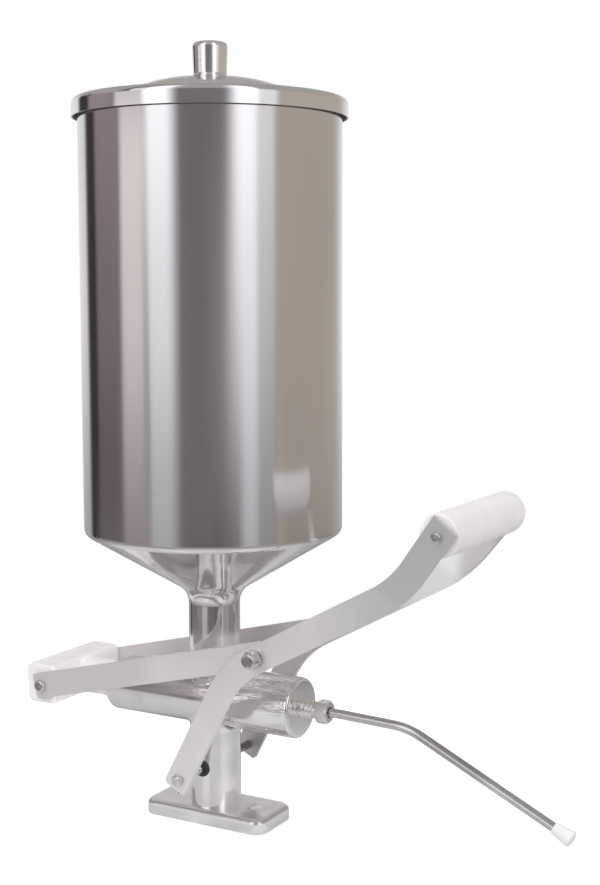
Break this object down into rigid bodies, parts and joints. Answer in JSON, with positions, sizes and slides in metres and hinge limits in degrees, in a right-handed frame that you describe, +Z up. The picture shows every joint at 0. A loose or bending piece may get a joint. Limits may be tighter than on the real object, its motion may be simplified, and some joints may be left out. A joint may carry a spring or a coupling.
{
  "type": "churro filler",
  "caption": "Hand-lever churro filler: a lidded steel hopper and funnel on a cast pump body, with a linked lever, crosshead and plunger that push filling out of a bent nozzle.",
  "frame": {"origin": "on the hopper's axis, at the underside of the base plate", "axes": "+Z up along the hopper's axis, +X along the pump towards the nozzle, lever plates either side along Y"},
  "size_m": [0.4067, 0.1882, 0.5406],
  "materials": {
    "polished_steel": "polished stainless sheet",
    "polished_aluminium": "polished casting",
    "satin_aluminium": "satin flat bar",
    "bright_hardware": "bright turned steel",
    "plated_fitting": "bright plated",
    "brass": "plain turned",
    "white_nylon": "machined nylon",
    "white_tip": "moulded",
    "dark_bush": "moulded",
    "black_rubber": "moulded"
  },
  "bodies": {
    "frame": {"base_plate": "polished_aluminium", "base_screws": "bright_hardware", "pump_body": "polished_aluminium", "side_plug": "bright_hardware", "axle_bushes": "dark_bush", "hopper_funnel": "polished_aluminium", "funnel_seal": "black_rubber", "shell_seal": "black_rubber", "hopper_shell": "polished_steel", "outlet_nipple": "plated_fitting", "nozzle_nut": "plated_fitting", "nozzle_ferrule": "brass", "nozzle_tube": "plated_fitting", "nozzle_tip": "white_tip"},
    "lever": {"lever_plate_near": "satin_aluminium", "lever_plate_far": "satin_aluminium", "lever_grip": "white_nylon", "grip_screws": "bright_hardware", "lever_axle": "bright_hardware", "axle_caps": "bright_hardware", "pivot_bolts": "bright_hardware", "pivot_nuts": "bright_hardware", "pivot_washers": "bright_hardware", "spacer_washers": "bright_hardware"},
    "links": {"link_near": "satin_aluminium", "link_far": "satin_aluminium", "link_screws": "bright_hardware"},
    "plunger": {"crosshead": "white_nylon", "plunger": "white_nylon", "plunger_screw": "bright_hardware", "plunger_seals": "black_rubber"},
    "lid": {"lid": "polished_steel", "lid_knob": "polished_aluminium", "knob_screw": "bright_hardware", "knob_washer": "bright_hardware"}
  },
  "joints": [
    {"name": "lever_swing", "type": "hinge", "parent": "frame", "child": "lever", "pos_m": [0, 0, 0.039], "axis": [0, 1, 0], "range_deg": [-14, 19]},
    {"name": "plunger_slide", "type": "slide", "parent": "frame", "child": "plunger", "axis": [1, 0, 0], "range_m": [-0.0184, 0.0249]},
    {"name": "link_swing", "type": "hinge", "parent": "lever", "child": "links", "pos_m": [0.06215, 0, 0.1322], "axis": [0, 1, 0], "range_deg": [-12.4, 9.1]},
    {"name": "lid_lift", "type": "slide", "parent": "frame", "child": "lid", "axis": [0, 0, 1], "range_m": [0, 0.06]}
  ],
  "couplings": [
    {"joint": "plunger_slide", "follows": "lever_swing", "m_per_rad": 0.0748},
    {"joint": "link_swing", "follows": "lever_swing", "ratio": -0.649}
  ]
}
